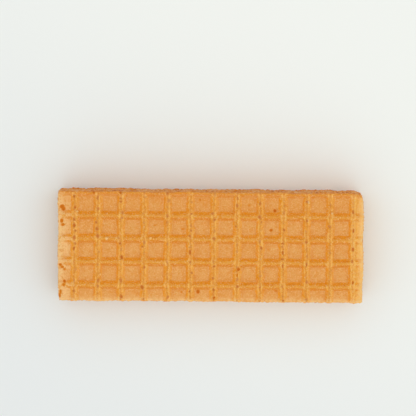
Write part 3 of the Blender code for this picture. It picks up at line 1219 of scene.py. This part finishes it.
class SUGAR_OT_waffle_sheets(Operator):
    """Model the top and bottom sheets with their ribs, pits and sawn sides"""

    bl_idname = "sugar.waffle_sheets"
    bl_label = "Waffle sheets"

    def execute(self, context):
        sizes = context.scene.wafer_shape
        material = baked_material()
        top = waffle_sheet(
            "top_waffle", "top_sheet", sizes.top_crossing, True, TOP_BORDER, TOP_HOLES, seed_of(1)
        )
        dress(top, material, "wafer_sheet", "top_sheet")
        bottom = waffle_sheet(
            "bottom_waffle", "bottom_sheet", sizes.bottom_crossing, False, BOTTOM_BORDER, (), seed_of(2)
        )
        dress(bottom, material, "wafer_sheet", "bottom_sheet")
        return {"FINISHED"}


class SUGAR_OT_middle_sheet(Operator):
    """Model the thin sheet between the two creams"""

    bl_idname = "sugar.middle_sheet"
    bl_label = "Middle sheet"

    def execute(self, context):
        piece = middle_sheet("middle_wafer", LOWER_BORDER, UPPER_BORDER)
        dress(piece, core_material(), "wafer_core", "middle_sheet")
        return {"FINISHED"}


class SUGAR_OT_creams(Operator):
    """Model the two layers of cream"""

    bl_idname = "sugar.creams"
    bl_label = "Creams"

    def execute(self, context):
        material = cream_material()
        gaps = core_gaps() + sheet_gaps(TOP_BORDER, 1, seed_of(1))
        low_z, high_z = UPPER_BORDER + UPPER_LAP, TOP_BORDER + OVERLAP
        upper = cream_layer("upper_filling", low_z, high_z, gaps, wide_hollows=6, step=4)
        dress(upper, material, "cream", "upper_cream")
        gaps = core_gaps() + sheet_gaps(BOTTOM_BORDER, -1, seed_of(2))
        low_z, high_z = BOTTOM_BORDER - OVERLAP, LOWER_BORDER + LOWER_LAP
        lower = cream_layer("lower_filling", low_z, high_z, gaps, wide_hollows=26, step=5)
        dress(lower, material, "cream", "lower_cream")
        return {"FINISHED"}


# Loose crumbs on the sawn sides: how many, between which heights, and their smallest and largest radius.
CREAM_CRUMBS = (
    (520, TOP_BORDER - 0.6 * MM, TOP_BORDER + 0.1 * MM, 0.08 * MM, 0.20 * MM),
    (520, LOWER_BORDER - 0.7 * MM, LOWER_BORDER + 0.2 * MM, 0.08 * MM, 0.20 * MM),
    (400, BOTTOM_BORDER, TOP_BORDER, 0.07 * MM, 0.14 * MM),
)
SHEET_CRUMBS = (
    (420, MIDDLE_Z - 0.8 * MM, MIDDLE_Z + 0.5 * MM, 0.08 * MM, 0.17 * MM),
    (160, TOP_BORDER - 0.2 * MM, TOP_BORDER + 0.6 * MM, 0.08 * MM, 0.18 * MM),
    (200, BOTTOM_BORDER - 0.6 * MM, BOTTOM_BORDER + 0.4 * MM, 0.08 * MM, 0.18 * MM),
)


def rim_crumbs(name, draw, rows, seed):
    """Crumbs on the sawn sides, more of them towards the top of each row."""
    places = []
    for count, low_z, high_z, smallest, largest in rows:
        for _ in range(count):
            point = rim_point(draw.random(), low_z + draw.random() ** 0.5 * (high_z - low_z))
            inset = draw.uniform(0.05, 0.25) * MM
            point.x *= 1 - inset / HALF_LENGTH
            point.y *= 1 - inset / HALF_WIDTH
            places.append((point, draw.uniform(smallest, largest)))
    piece = scatter(name, places, seed)
    finish_outline(piece)
    return piece


class SUGAR_OT_crumbs(Operator):
    """Stick loose crumbs to the sawn sides and the top"""

    bl_idname = "sugar.crumbs"
    bl_label = "Crumbs"

    def execute(self, context):
        colours = context.scene.wafer_colours
        draw = random.Random(seed_of(6))
        crumbs = rim_crumbs("cream_crumbs", draw, CREAM_CRUMBS, seed=11)
        dress(crumbs, crumb_material("Cream crumbs", colours.cream_crumb, colours.cream), "cream")
        chips = rim_crumbs("sheet_crumbs", draw, SHEET_CRUMBS, seed=17)
        dress(chips, crumb_material("Sheet crumbs", colours.crumb, colours.core), "wafer_core")
        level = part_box("top_sheet")[1].z - 0.12 * MM
        places = [((x * MM, y * MM, level), radius * MM) for x, y, radius in TOP_CRUMBS]
        flakes = scatter("top_crumbs", places, seed=23)
        dress(flakes, crumb_material("Pale crumbs", colours.dust, colours.rind), "wafer_sheet")
        return {"FINISHED"}


# The light from all round, and the lamp's, as shares of red, green and blue; the lamp's place and size.
SKY = (0.97, 0.985, 1.0)
LAMP = (1.0, 0.98, 0.95)
LAMP_PLACE = (0.50, -0.12, 1.0)
LAMP_SIZE = 0.9
FLOOR_SIZE = 6.0
# The direction in which light is painted onto the floor, and the point on the bar's top that the camera looks
# at.
PAINTED_LIGHT_CORNER = (0.6, 0.8, 0.0)
CAMERA_AIM = (-0.78 * MM, 9.1 * MM)


def soft_world(glow, strength):
    """Even light from all round, warmer where it comes in low from the +Y side."""
    world = bpy.data.worlds.new("Studio")
    world.use_nodes = True
    tree = world.node_tree
    way = wire(tree, "ShaderNodeTexCoord").outputs["Generated"]
    parts = wire(tree, "ShaderNodeSeparateXYZ", {0: way}).outputs
    light = coats(tree, SKY, (glow, parts["Y"], 0.2, 0.6, 1.0, fade(tree, parts["Z"], 0.55, 0.25)))
    background = tree.nodes["Background"]
    tree.links.new(light, background.inputs["Color"])
    background.inputs["Strength"].default_value = strength
    return world


class SUGAR_OT_studio(Operator):
    """Set the floor, the soft light and the camera"""

    bl_idname = "sugar.studio"
    bl_label = "Studio"

    def execute(self, context):
        studio = context.scene.wafer_studio
        put_down()
        bpy.ops.mesh.primitive_plane_add(size=FLOOR_SIZE, location=(0, 0, CAD_LOW.z))
        floor = context.object
        floor.name = "floor"
        material, tree, where, _ = new_material("Studio floor", 0.9)
        # Painted light: the floor grows lighter towards the far corner.
        toward = wire(tree, "ShaderNodeVectorMath", {0: where, 1: PAINTED_LIGHT_CORNER}, operation="DOT_PRODUCT")
        tone = coats(tree, studio.floor, (studio.far_floor_painted_light, toward.outputs["Value"], -0.06, 0.06))
        floor.data.materials.append(surface(material, tone))

        lamp = bpy.data.lights.new("Key", "AREA")
        lamp.shape = "SQUARE"
        lamp.size = LAMP_SIZE
        lamp.energy = studio.key_power
        lamp.color = LAMP
        key = bpy.data.objects.new("Key", lamp)
        key.location = LAMP_PLACE
        key.rotation_euler = (-key.location).to_track_quat("-Z", "Y").to_euler()
        context.scene.collection.objects.link(key)

        context.scene.world = soft_world(studio.glow, studio.fill)
        context.scene.view_settings.view_transform = "Standard"

        lens = bpy.data.cameras.new("Camera")
        lens.lens = studio.focal_length
        lens.sensor_width = 36.0
        camera = bpy.data.objects.new("Camera", lens)
        aim = Vector((*CAMERA_AIM, CAD_HIGH.z))
        camera.rotation_euler = (-studio.tilt, 0.0, studio.roll)
        camera.location = aim + camera.rotation_euler.to_matrix() @ Vector((0, 0, studio.distance))
        context.scene.collection.objects.link(camera)
        context.scene.camera = camera
        return {"FINISHED"}


class SUGAR_PT_wafer(Panel):
    """Everything that makes the wafer, in the order it is made"""

    bl_label = "Sugar wafer"
    bl_idname = "SUGAR_PT_wafer"
    bl_space_type = "VIEW_3D"
    bl_region_type = "UI"
    bl_category = "Sugar wafer"

    def draw(self, context):
        for settings in (context.scene.wafer_shape, context.scene.wafer_colours, context.scene.wafer_studio):
            box = self.layout.box()
            for name in settings.__annotations__:
                box.prop(settings, name)
        for operator in OPERATORS:
            self.layout.operator(operator.bl_idname)


SETTINGS = {"wafer_shape": WaferShape, "wafer_colours": WaferColours, "wafer_studio": WaferStudio}
OPERATORS = (
    SUGAR_OT_waffle_sheets,
    SUGAR_OT_middle_sheet,
    SUGAR_OT_creams,
    SUGAR_OT_crumbs,
    SUGAR_OT_studio,
)


def register():
    for kind in (*SETTINGS.values(), *OPERATORS, SUGAR_PT_wafer):
        bpy.utils.register_class(kind)
    for name, group in SETTINGS.items():
        setattr(bpy.types.Scene, name, PointerProperty(type=group))


def unregister():
    for name in SETTINGS:
        delattr(bpy.types.Scene, name)
    for kind in (SUGAR_PT_wafer, *reversed(OPERATORS), *reversed(SETTINGS.values())):
        bpy.utils.unregister_class(kind)


def main():
    register()
    bpy.ops.sugar.waffle_sheets()
    bpy.ops.sugar.middle_sheet()
    bpy.ops.sugar.creams()
    bpy.ops.sugar.crumbs()
    bpy.ops.sugar.studio()


if __name__ == "__main__":
    main()
